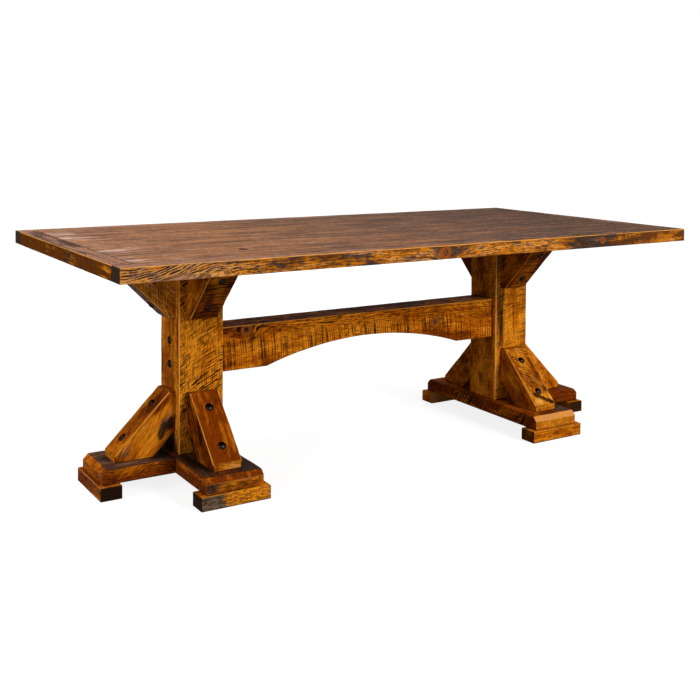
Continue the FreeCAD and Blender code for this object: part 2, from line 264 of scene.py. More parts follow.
def timber(node, slot, place, low, high, *, ease, ends, pith, worn_highlight, seed, across=None, step=0.004,
           shape=None, breaks=((), (), ()), worn_highlight_ends=0.4, end_dark=1.0, wave=0.004):
    """One timber: a block along a (its grain), b and c, eased at its arrises, shaped, left uneven
    and carried to its place. Its attributes hold what the finish needs at each point: grain is the
    place from the pith, bent round knots; saw is strokes along the saw's way, their strength and the
    place along them; next come how light an arris is drawn (partly abraded wood, partly a painted
    highlight), end grain and distance to a knot; then tone, greyness and dark, which also carry
    painted light and painted shade; figure is how plainly the growth rings, the flecks and the coat's
    sheen show."""
    low, high = np.array(low, float), np.array(high, float)
    middle = (low + high) / 2
    knots, checks, patches = KNOTS.get(node, ()), CHECKS.get(node, ()), PATCHES.get(node, ())
    lines = []
    for axis in range(3):
        extra = [at + beside for at in breaks[axis] for beside in (-BREAK_GAP, 0, BREAK_GAP)]
        for side, _, _, q, width, _ in checks:
            if axis == across_grain(side):
                extra += list(q + width * np.linspace(-1, 1, 5))
        lines.append(grid_lines(low[axis], high[axis], step, ARRIS_GAP, extra))
    points, quads = block_skin(lines)
    at_low, at_high = np.isclose(points, low), np.isclose(points, high)
    on = {side: (at_high if side[1] == "+" else at_low)[:, "abc".index(side[0])] for side in SIDES}
    facing = at_high.astype(float) - at_low
    facing /= np.linalg.norm(facing, axis=1)[:, None]
    if shape is foot_bevel:
        bevel = np.abs(points[:, 0]) > FOOT_END - FOOT_BEVEL + 0.0001
        on["c+bevel"] = on["c+"] & bevel
        on["c+"] = on["c+"] & ~bevel
    gap = np.minimum(points - low, high - points)

    # arrises
    uneven = 1 + 0.3 * waves(points, 0.09, seed) * (np.sort(gap, 1)[:, 2] > 0.012)
    chips = chipped(points, low, high, seed)
    near, seam_shade = np.zeros(len(points)), np.zeros(len(points))
    for axes, radii in (((1, 2), ease), ((0, 2), ends if across is None else across), ((0, 1), ends)):
        radius = by_corner(points, axes, middle, radii)
        # eased arrises are drawn light near the edge: partly abraded unstained wood, partly a painted
        # highlight
        bare_and_painted_light = np.clip((radius - 0.0008) / 0.0015, 0, 1)
        distance = np.maximum(gap[:, axes[0]], gap[:, axes[1]])
        share = by_corner(points, axes, middle, worn_highlight if axes == (1, 2) else worn_highlight_ends)
        near = np.maximum(near, share * bare_and_painted_light * np.clip(1 - distance / BARE_AND_HIGHLIGHT_REACH, 0, 1))
        # painted shade: darker within a few millimetres of a sharp arris, where boards and timbers meet in
        # seams
        seam_shade = np.maximum(seam_shade, (1 - bare_and_painted_light) * np.clip(1 - distance / SEAM_SHADE_REACH, 0, 1))
        round_arris(points, axes, low, high, radius * uneven + bare_and_painted_light * chips * (axes == (1, 2)))
    if shape:
        shape(points)

    # sides
    draw = np.random.default_rng(seed + 500)
    saw, stain_and_shade = np.zeros((len(points), 3)), np.zeros((len(points), 3))
    # the painted shade along seams goes into the third, darkening value
    stain_and_shade[:, 2] = 0.9 * seam_shade
    rings, flecks, sheen, relief, on_end = np.zeros((5, len(points)))
    for number, side in enumerate(on):
        look = dict(angle=draw.uniform(-14, 14), pitch=draw.uniform(0.011, 0.017),
                    strokes=draw.uniform(0.2, 0.5), figure=draw.uniform(0.1, 0.4), tone=0, grey=0,
                    flecks=1, sheen=1, short=draw.uniform(0.6, 1.1), end=end_dark)
        look.update(LOOKS.get(node, {}).get(side, {}))
        strokes_here = sawn_side(points, side, middle, look, draw)
        saw = np.where(on[side][:, None], strokes_here, saw)
        rings = np.where(on[side], look["figure"], rings)
        flecks = np.where(on[side], look["flecks"], flecks)
        sheen = np.where(on[side], look["sheen"], sheen)
        stain_and_shade[:, :2] += on[side][:, None] * np.array([look["tone"], look["grey"]])
        on_end = np.maximum(on_end, on[side] * look["end"] * (side[0] == "a"))
        swell = 0.5 + 0.25 * waves(points, 0.16, seed + 7 * number)
        ridge = 0.5 + 0.5 * np.sin(2 * np.pi * strokes_here[:, 0])
        relief = np.where(on[side], UNEVEN * (swell + 0.35 * look["strokes"] * ridge), relief)

    # knots, patches of stain, of abrasion and of painted light and shadow, and drying checks
    bend, knot, dent = knot_marks(points, low, high, knots)
    relief += dent
    rings = np.clip(rings + 0.9 * np.exp(-(knot / 2.2) ** 2), 0, 1.5)
    for side, p0, q0, long, wide, change in patches:
        share = spot(points, on, side, p0, q0, long, wide)
        stain_and_shade += share[:, None] * np.array([change.get(k, 0) for k in ("tone", "grey", "dark")])
        saw[:, 1] = np.clip(saw[:, 1] + share * change.get("strokes", 0), 0, 1.5)
        rings = np.clip(rings + share * change.get("figure", 0), 0, 1.5)
        sheen = np.clip(sheen + share * change.get("sheen", 0), 0, 1)
        near = np.maximum(near, share * change.get("bare_and_painted_light", 0))
    for side, p0, p1, q0, width, depth in checks:
        cut, wander = check_cut(points, on, side, p0, p1, q0, width)
        relief += depth * cut
        stain_and_shade[:, 2] += 1.2 * cut
        points[:, across_grain(side)] += wander
    points -= facing * np.maximum(relief, 0)[:, None]

    # grain from the pith
    draw = np.random.default_rng(seed + 900)
    lean, phase = draw.uniform(-0.012, 0.012, 2), draw.uniform(0, 6, 2)
    a = points[:, 0]
    grain = points - middle + [draw.uniform(-5, 5), *pith]
    grain[:, 1] += lean[0] * a + wave * np.sin(7 * a + phase[0])
    grain[:, 2] += lean[1] * a + wave * np.sin(9 * a + phase[1])
    for at, run, rise in SWEEPS.get(node, ()):
        grain[:, 2] -= rise * np.tanh((a - at) / run)
    flat_b = np.abs(facing[:, 1]) > np.abs(facing[:, 2])
    grain[:, 2] += np.where(flat_b, bend, 0)
    grain[:, 1] += np.where(flat_b, 0, bend)
    if end_dark < 0.5:
        cross = on["a-"] | on["a+"]
        grain[cross] = grain[cross][:, [1, 0, 2]]
    origin, along, wide, thick = place
    piece = mesh_piece(node + "_timber", origin + points @ np.array([along, wide, thick]), quads.tolist())
    for name, values in (("grain", grain), ("saw", saw), ("stain_and_shade", stain_and_shade),
                         ("wear_highlight", np.stack([near, on_end, knot], 1)),
                         ("figure", np.stack([rings, flecks, sheen], 1))):
        layer = piece.data.attributes.new(name, "FLOAT_VECTOR", "POINT")
        layer.data.foreach_set("vector", values.astype(np.float32).ravel())
    piece.data.materials.append(FINISHES[slot])
    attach(piece, "root")
    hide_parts(node)


def mesh_piece(name, points, faces):
    """Object at the origin whose mesh has these points and faces, shaded smooth."""
    mesh = bpy.data.meshes.new(name)
    mesh.from_pydata(points.tolist(), [], faces)
    mesh.polygons.foreach_set("use_smooth", np.ones(len(mesh.polygons), bool))
    mesh.update()
    piece = bpy.data.objects.new(name, mesh)
    bpy.context.scene.collection.objects.link(piece)
    return piece


# Finishes

def srgb(r, g, b):
    """Colour from its 0 to 255 values on a screen, as linear light."""
    c = np.array([r, g, b]) / 255
    return (*np.where(c <= 0.04045, c / 12.92, ((c + 0.055) / 1.055) ** 2.4).tolist(), 1.0)


class Bench:
    """Node tree of one finish or of the world, with short ways to add a node and feed it values or
    other nodes."""

    def __init__(self, owner):
        self.owner = owner
        owner.use_nodes = True
        self.tree = owner.node_tree
        self.tree.nodes.clear()

    def feed(self, socket, value):
        """Links a socket to another node's output, or sets its value."""
        if isinstance(value, bpy.types.NodeSocket):
            self.tree.links.new(value, socket)
        else:
            socket.default_value = value

    def put(self, kind, values=(), named=(), **settings):
        """Adds a node with its settings, and feeds its sockets in order or by name."""
        node = self.tree.nodes.new("ShaderNode" + kind)
        for key, value in settings.items():
            setattr(node, key, value)
        for socket, value in zip(node.inputs, values):
            self.feed(socket, value)
        for key, value in dict(named).items():
            self.feed(node.inputs[key], value)
        return node

    def maths(self, operation, *values):
        """One sum on numbers."""
        return self.put("Math", values, operation=operation).outputs[0]

    def scaled(self, vector, by):
        """Place stretched by its own factor along each axis."""
        return self.put("VectorMath", (vector, by), operation="MULTIPLY").outputs[0]

    def noise(self, vector, detail, roughness, scale=1.0):
        """Cloudy noise from nought to one at a place."""
        named = {"Vector": vector, "Scale": scale, "Detail": detail, "Roughness": roughness}
        return self.put("TexNoise", named=named).outputs[0]

    def fade(self, value, low, high):
        """Smooth step from nought at low to one at high."""
        node = self.put("MapRange", (value, low, high), interpolation_type="SMOOTHSTEP")
        return node.outputs[0]

    def mix(self, share, one, two):
        """Colour one, and a share of colour two over it."""
        node = self.put("Mix", data_type="RGBA")
        for index, value in ((0, share), (6, one), (7, two)):
            self.feed(node.inputs[index], value)
        return node.outputs[2]

    def ramp(self, value, stops):
        """Colour by value, blended between stops of place and colour."""
        node = self.put("ValToRGB", (value,))
        while len(node.color_ramp.elements) < len(stops):
            node.color_ramp.elements.new(0.5)
        for element, (at, colour) in zip(node.color_ramp.elements, stops):
            element.position = at
            element.color = colour
        return node.outputs[0]

    def looked_at(self):
        """One where the camera, a reflection or a view through glass looks, nought for other light."""
        ray = self.put("LightPath").outputs
        shiny = self.maths("MAXIMUM", ray["Is Glossy Ray"], ray["Is Transmission Ray"])
        return self.maths("MAXIMUM", ray["Is Camera Ray"], shiny)

    def finish(self, **sockets):
        """Surface with these sockets fed, their names written with low lines for blanks."""
        shader = self.put("BsdfPrincipled", named={k.replace("_", " "): v for k, v in sockets.items()})
        self.put("OutputMaterial", (shader.outputs[0],))
        return self.owner


def timber_finish(name, light, body, dark, line, worn_highlight, end, grey, streaks=0.4, flecks=0.6, strokes=0.95,
                  figure=0.9, gloss=0.5, ring=0.0075, ragged=1.8, specular=0.006, coarse=1.0,
                  uneven_sheen=False):
    """Stained sawn timber under a clear satin coat. Growth rings are bands of the distance from the
    pith; streaks and flecks are noise drawn out along the grain; saw strokes are a fine hatch and dark
    broken lines along the saw's line; arrises turn light, partly as abraded unstained wood and partly as
    a painted highlight; the dark share also carries painted shade along seams and painted shadow in
    patches; knots are rings round their own middle; end grain is dark."""
    b = Bench(bpy.data.materials.new(name))
    grain, saw = (b.put("Attribute", attribute_name=n).outputs["Vector"] for n in ("grain", "saw"))
    wear_highlight, stain_and_shade, plain = (b.put("Attribute", attribute_name=n).outputs["Vector"]
                          for n in ("wear_highlight", "stain_and_shade", "figure"))
    wear_highlight, stain_and_shade, plain = (b.put("SeparateXYZ", (layer,)).outputs for layer in (wear_highlight, stain_and_shade, plain))
    stroke, power, _ = b.put("SeparateXYZ", (saw,)).outputs

    # uneven stain, streaks and grey islands
    streak = b.noise(b.scaled(grain, (3, 70 / coarse, 70 / coarse)), 4, 0.6)
    islands = b.noise(b.scaled(grain, (18 / coarse, 70 / coarse, 70 / coarse)), 4, 0.65)
    blotch = b.noise(b.scaled(grain, (6, 16, 16)), 4, 0.6)
    blotchy = b.fade(blotch, 0.34, 0.66)
    depth = b.maths("MULTIPLY", b.fade(streak, 0.34, 0.66), streaks)
    depth = b.maths("MULTIPLY_ADD", blotchy, 1 - streaks, depth)
    depth = b.maths("SUBTRACT", depth, b.maths("MULTIPLY", stain_and_shade[0], 0.5))
    colour = b.ramp(depth, [(0.1, srgb(*light)), (0.5, srgb(*body)), (0.9, srgb(*dark))])

    greys = [(at, srgb(*(share * np.array(grey)))) for at, share in ((0.0, 1.9), (0.5, 1.0), (0.9, 0.7))]
    greyed = b.fade(b.maths("MULTIPLY_ADD", b.maths("SUBTRACT", islands, 0.5), ragged, stain_and_shade[1]), 0.4, 0.7)
    colour = b.mix(greyed, colour, b.ramp(depth, greys))

    # growth rings and flecks
    from_pith = b.put("VectorMath", (b.scaled(grain, (0, 1, 1)),), operation="LENGTH").outputs["Value"]
    wander = b.noise(b.scaled(grain, (17, 40, 40)), 2, 0.5)
    phase = b.maths("MULTIPLY_ADD", from_pith, 1 / ring, b.maths("MULTIPLY", wander, 2.2))
    late = b.ramp(b.maths("FRACT", phase), [(0.40, (0, 0, 0, 1)), (0.52, (1, 1, 1, 1)),
                                           (0.92, (1, 1, 1, 1)), (1, (0, 0, 0, 1))])
    broken = b.fade(b.noise(b.scaled(grain, (52, 140, 140)), 2, 0.5), 0.43, 0.55)
    shown = b.maths("MULTIPLY", late, plain[0])
    shown = b.maths("MULTIPLY", shown, b.maths("MULTIPLY_ADD", broken, 0.75, 0.25))
    colour = b.mix(b.maths("MULTIPLY", shown, figure), colour, srgb(*line))
    fleck = b.fade(b.noise(b.scaled(grain, (48, 250, 250)), 2, 0.6), 0.52, 0.58)
    fleck = b.maths("MULTIPLY", fleck, plain[1])
    colour = b.mix(b.maths("MULTIPLY", fleck, flecks), colour, srgb(*line))

    # saw strokes
    drift = b.noise(b.scaled(saw, (0.5, 0, 4)), 2, 0.5)
    turn = b.maths("MULTIPLY_ADD", drift, 1.5, b.maths("MULTIPLY", stroke, 2))
    turn = b.maths("MULTIPLY", turn, 2 * math.pi)
    hatch = b.fade(b.maths("SINE", turn), -0.1, 0.7)
    hatch = b.maths("MULTIPLY", hatch, b.fade(b.noise(b.scaled(saw, (2.6, 0, 9)), 1, 0.5), 0.38, 0.58))
    broad = b.fade(b.noise(b.scaled(saw, (2.6, 0, 8)), 1, 0.5), 0.54, 0.60)
    cut = b.maths("MAXIMUM", b.maths("MULTIPLY", broad, 0.9), b.maths("MULTIPLY", hatch, 0.85))
    patchy = b.fade(b.noise(b.scaled(grain, (8, 15, 15)), 2, 0.5), 0.36, 0.58)
    cut = b.maths("MULTIPLY", b.maths("MULTIPLY", cut, power), b.maths("MULTIPLY_ADD", patchy, 0.55, 0.45))
    colour = b.mix(b.maths("MULTIPLY", cut, strokes), colour, srgb(*line))

    # knots and dark patches
    uneven = b.maths("ADD", wander, b.noise(grain, 2, 0.6, 150.0))
    ring_at = b.maths("MULTIPLY_ADD", b.maths("SUBTRACT", uneven, 1.0), 1.3, wear_highlight[2])
    knot_colour = b.ramp(b.maths("DIVIDE", ring_at, 2.5), [
        (0.0, srgb(104, 70, 48)), (0.14, srgb(80, 50, 33)), (0.22, srgb(112, 66, 34)),
        (0.30, srgb(136, 66, 18)), (0.38, srgb(172, 84, 16)), (0.44, srgb(56, 30, 15)),
        (0.52, srgb(178, 98, 20)), (0.60, srgb(84, 50, 26))])
    colour = b.mix(b.fade(ring_at, 1.8, 1.0), colour, knot_colour)
    darkened = b.maths("MULTIPLY_ADD", b.maths("SUBTRACT", streak, 0.5), 1.1, stain_and_shade[2])
    colour = b.mix(b.maths("MULTIPLY", b.fade(darkened, 0.25, 0.75), 0.9), colour, srgb(*line))

    # arrises drawn light, partly abraded wood and partly a painted highlight, and end grain
    edge = b.fade(b.maths("MULTIPLY_ADD", b.maths("SUBTRACT", blotch, 0.5), 0.6, wear_highlight[0]), 0.45, 0.8)
    colour = b.mix(b.maths("MULTIPLY", edge, 0.85), colour, srgb(*worn_highlight))
    end_colour = b.mix(b.maths("MULTIPLY", late, 0.6), srgb(*end), srgb(*line))
    colour = b.mix(wear_highlight[1], colour, end_colour)

    high = b.maths("MULTIPLY_ADD", shown, -0.3, b.maths("MULTIPLY", fleck, -0.3))
    high = b.maths("MULTIPLY_ADD", cut, -0.7, high)
    bump = b.put("Bump", named={"Strength": 0.5, "Distance": 0.0012, "Height": high}).outputs[0]
    dull = b.maths("MULTIPLY_ADD", b.maths("ADD", cut, fleck), 0.18, gloss)
    sheen = b.maths("MULTIPLY", plain[2], specular) if uneven_sheen else specular
    return b.finish(Base_Color=colour, Roughness=dull, Normal=bump, Specular_IOR_Level=sheen)


def bolt_finish():
    """Black oxide on forged steel: a rough dark film, lighter in patches round the crown, partly scuffed
    through to grey steel and partly a painted glint.
    """
    b = Bench(bpy.data.materials.new("bolt_black"))
    place = b.put("TexCoord").outputs["Object"]
    crown = b.put("Attribute", attribute_name="crown").outputs["Fac"]
    mottle = b.noise(place, 4, 0.6, 300.0)
    scuff = b.noise(place, 3, 0.7, 260.0)
    colour = b.ramp(mottle, [(0.35, srgb(20, 16, 14)), (0.65, srgb(40, 33, 28))])
    # painted glint: lighter steel round the crown, partly a scuffed film
    rubbed_glint = b.fade(b.maths("MULTIPLY_ADD", b.maths("SUBTRACT", mottle, 0.5), 2.0, crown), 0.95, 1.35)
    colour = b.mix(rubbed_glint, colour, srgb(96, 82, 68))
    bump = b.put("Bump", named={"Strength": 0.7, "Distance": 0.0005, "Height": scuff}).outputs[0]
    dull = b.maths("MULTIPLY_ADD", scuff, 0.3, 0.12)
    return b.finish(Base_Color=colour, Roughness=dull, Normal=bump, Metallic=1.0,
                    Specular_Tint=(0.45, 0.42, 0.38, 1))


def screw_finish():
    """Zinc-plated screw: pale grey metal with a faint yellow mottle."""
    b = Bench(bpy.data.materials.new("screw_steel"))
    place = b.put("TexCoord").outputs["Object"]
    mottle = b.noise(place, 3, 0.6, 700.0)
    colour = b.ramp(mottle, [(0.3, srgb(150, 150, 152)), (0.7, srgb(190, 186, 172))])
    return b.finish(Base_Color=colour, Roughness=b.maths("MULTIPLY_ADD", mottle, 0.25, 0.25), Metallic=1.0)


# the light arris colour of these palettes stands for abraded unstained wood and for a painted highlight
AMBER = dict(light=(234, 142, 28), body=(200, 106, 8), dark=(128, 54, 2), line=(30, 15, 7),
             worn_highlight=(244, 168, 72), end=(20, 13, 9))
FOOT_AMBER = dict(AMBER, worn_highlight=(212, 146, 84), end=(36, 23, 14))
FINISHES = {
    "deck_wood": timber_finish(
        "deck_wood", (166, 108, 62), (114, 71, 42), (74, 47, 31), (36, 24, 18), (150, 104, 68), (46, 31, 22),
        grey=(118, 94, 81), streaks=0.7, gloss=0.6, strokes=0.45, flecks=0.5, figure=0.4, specular=0.08,
        coarse=1.25, uneven_sheen=True),
    "rim_wood": timber_finish(
        "rim_wood", (222, 152, 76), (210, 122, 12), (110, 56, 4), (54, 40, 32), (240, 168, 84), (40, 26, 17),
        grey=(87, 62, 48), streaks=0.55, ring=0.0066, figure=1.0, uneven_sheen=True),
    "post_wood": timber_finish("post_wood", grey=(84, 61, 41), streaks=0.25, **AMBER),
    "brace_wood": timber_finish("brace_wood", grey=(138, 100, 66), streaks=0.25, ragged=0.6, **AMBER),
    "foot_wood": timber_finish("foot_wood", grey=(88, 60, 42), streaks=0.3, ragged=0.6, **FOOT_AMBER),
    "toe_wood": timber_finish("toe_wood", grey=(70, 56, 44), **FOOT_AMBER),
    "stretcher_wood": timber_finish("stretcher_wood", grey=(92, 70, 54), streaks=0.25, **AMBER),
}


# Marks on the wood that the photograph shows, by piece. LOOKS: what differs on a side, some of it
# painted light. KNOTS: side, along, across, radius, and True where only the bent grain shows. SWEEPS:
# place along the grain, run and rise of a bend in it. CHECKS, from drying: side, from, to, across,
# width, depth. PATCHES, of stain, of abrasion and of painted light and shade: side, along, across,
# half length, half width, what changes.

FULL = 9  # a half size far past the table, for a patch from side to side
GREY_TOP = dict(angle=28, strokes=0.8, grey=0.5, tone=-0.5)
FOOT_TOP_LOOK = dict(strokes=0.15, figure=0.1, grey=0.8, tone=-0.4, flecks=0.5)
DARK_FOOT_TOP = dict(strokes=0.15, figure=0.2, grey=0.45, tone=-0.95, flecks=0.6)
# painted sheen: the rim boards' tops are drawn greyer and lighter, standing in for the coat's pale
# reflection at a low angle
RIM_TOP = dict(grey=1.3, tone=0.9, strokes=0.2, figure=0.1)
END_TOP = dict(grey=2.0, tone=0.9, strokes=0.2, figure=0.1)
LOOKS = {
    "post_left": {
        "c-": dict(angle=-29, pitch=0.014, strokes=0.95, figure=0.05, tone=0.85, grey=0.22, short=2.4),
        "b-": dict(angle=12, strokes=0.4, figure=0.1, tone=0.2)},
    "post_right": {
        "c-": dict(angle=-6, pitch=0.012, strokes=0.7, figure=0.2, tone=0.6, flecks=0.5, short=1.6),
        "b-": dict(angle=8, strokes=0.4, figure=0.1, tone=0.1)},
    "stretcher": {
        "b-": dict(angle=9, pitch=0.016, strokes=1.1, figure=0.05, tone=0.05, short=0.5), "c+": GREY_TOP},
    "edge_board_front": {
        "b-": dict(angle=-8, strokes=0.25, figure=0.6, tone=-0.2, grey=0.45), "c+": RIM_TOP},
    "edge_board_back": {"c+": RIM_TOP},
    "end_board_left": {
        "b+": dict(angle=0, tone=-1.4, strokes=0.7, flecks=0.7, sheen=0), "c+": END_TOP},
    "end_board_right": {"c+": dict(END_TOP, tone=0.1)},
    "lower_brace_front_left": {
        "c+": dict(angle=50, pitch=0.011, strokes=0.5, figure=0.1, tone=-0.75, flecks=0.5, short=2),
        "a+": dict(angle=80, strokes=0.6, tone=0.6, grey=0.42),
        "b-": dict(angle=75, pitch=0.02, strokes=1.4, tone=-0.3, figure=0.3)},
    "lower_brace_end_left": {
        "c+": dict(angle=80, strokes=0.35, tone=-0.2),
        "b+": dict(angle=70, pitch=0.012, strokes=0.4, figure=0.2, flecks=0.5, tone=-0.1)},
    "upper_brace_front_left": {
        "c+": dict(angle=0, pitch=0.014, strokes=2.2, tone=0.0, flecks=0.6, short=1.0),
        "b+": dict(tone=-0.2, strokes=0.4)},
    "upper_brace_end_left": {
        # painted light: this brace's outer side lies in shade under the top and is drawn much lighter and
        # greyer
        "b-": dict(angle=50, pitch=0.014, strokes=0.7, tone=1.3, grey=0.46, short=2),
        "c+": dict(tone=-1.6, grey=0.6)},
    "lower_brace_front_right": {
        "c+": dict(angle=-25, pitch=0.011, strokes=1.1, tone=0.15, grey=0.42, short=2),
        "a+": dict(tone=0.8),
        "b-": dict(strokes=0.25, tone=-0.1)},
    "upper_brace_back_right": {"b-": dict(tone=-1.2)},
    "lower_brace_back_right": {"b+": dict(tone=0, strokes=0.9)},
    "upper_brace_front_right": {
        "c+": dict(angle=0, pitch=0.014, strokes=2.2, tone=-0.6, short=0.8),
        "b+": dict(strokes=0.15, tone=-0.6)},
    "cross_foot_left": {
        "c+": dict(DARK_FOOT_TOP, grey=0.52),
        "c+bevel": dict(tone=-0.7, strokes=0.1, grey=0.46, flecks=0.3),
        "a-": dict(tone=0.35, figure=0.5),
        "b+": dict(tone=-1.0, strokes=0.6, grey=0.42)},
    "end_foot_left": {
        "c+": FOOT_TOP_LOOK,
        "c+bevel": dict(tone=-0.4, strokes=0.3, grey=0.42, flecks=0.5),
        "a+": dict(tone=-0.6),
        "b+": dict(angle=55, pitch=0.011, strokes=0.7, figure=0.3, grey=0.4, tone=-0.5, short=2)},
    "cross_foot_right": {
        "c+": dict(DARK_FOOT_TOP, tone=-0.5),
        "c+bevel": dict(tone=0.5, strokes=0.1, flecks=0.5),
        "a-": dict(tone=0.9, figure=0.2, flecks=0.6),
        "b+": dict(angle=35, pitch=0.018, tone=-0.7, strokes=1.5)},
    "end_foot_right": {
        "c+": DARK_FOOT_TOP, "c+bevel": dict(tone=0.2, strokes=0.1), "b-": dict(tone=-1.4)},
    "toe_block_front_left": {"b-": dict(tone=0.5, strokes=0.3, figure=0.5)},
    "toe_block_end_left": {"b+": dict(tone=-0.2, grey=0.36)},
    "toe_block_front_right": {
        "b-": dict(tone=0, strokes=0.3, figure=0.4), "a-": dict(end=0.7, tone=-0.6)},
    "toe_block_back_right": {"a-": dict(end=0.1, tone=-0.2)},
    "toe_block_end_right": {"a-": dict(end=0.95)},
}
KNOTS = {
    "stretcher": [("b-", -0.470, 0.460, 0.016), ("b-", 0.294, 0.414, 0.014)],
    "edge_board_front": [
        ("b-", -0.021, 0.740, 0.017), ("b-", 0.654, 0.741, 0.008), ("b-", -0.788, 0.722, 0.014, True)],
    "deck_plank_1": [("c+", -0.612, -0.318, 0.009)],
    "upper_brace_end_left": [("b-", 0.068, 0.070, 0.003)],
}
SWEEPS = {"edge_board_front": [(-0.90, 0.09, 0.040)], "stretcher": [(-0.42, 0.05, 0.02)]}
CHECKS = {"post_right": [("c-", 0.29, 0.53, 0.015, 0.003, 0.004)]}
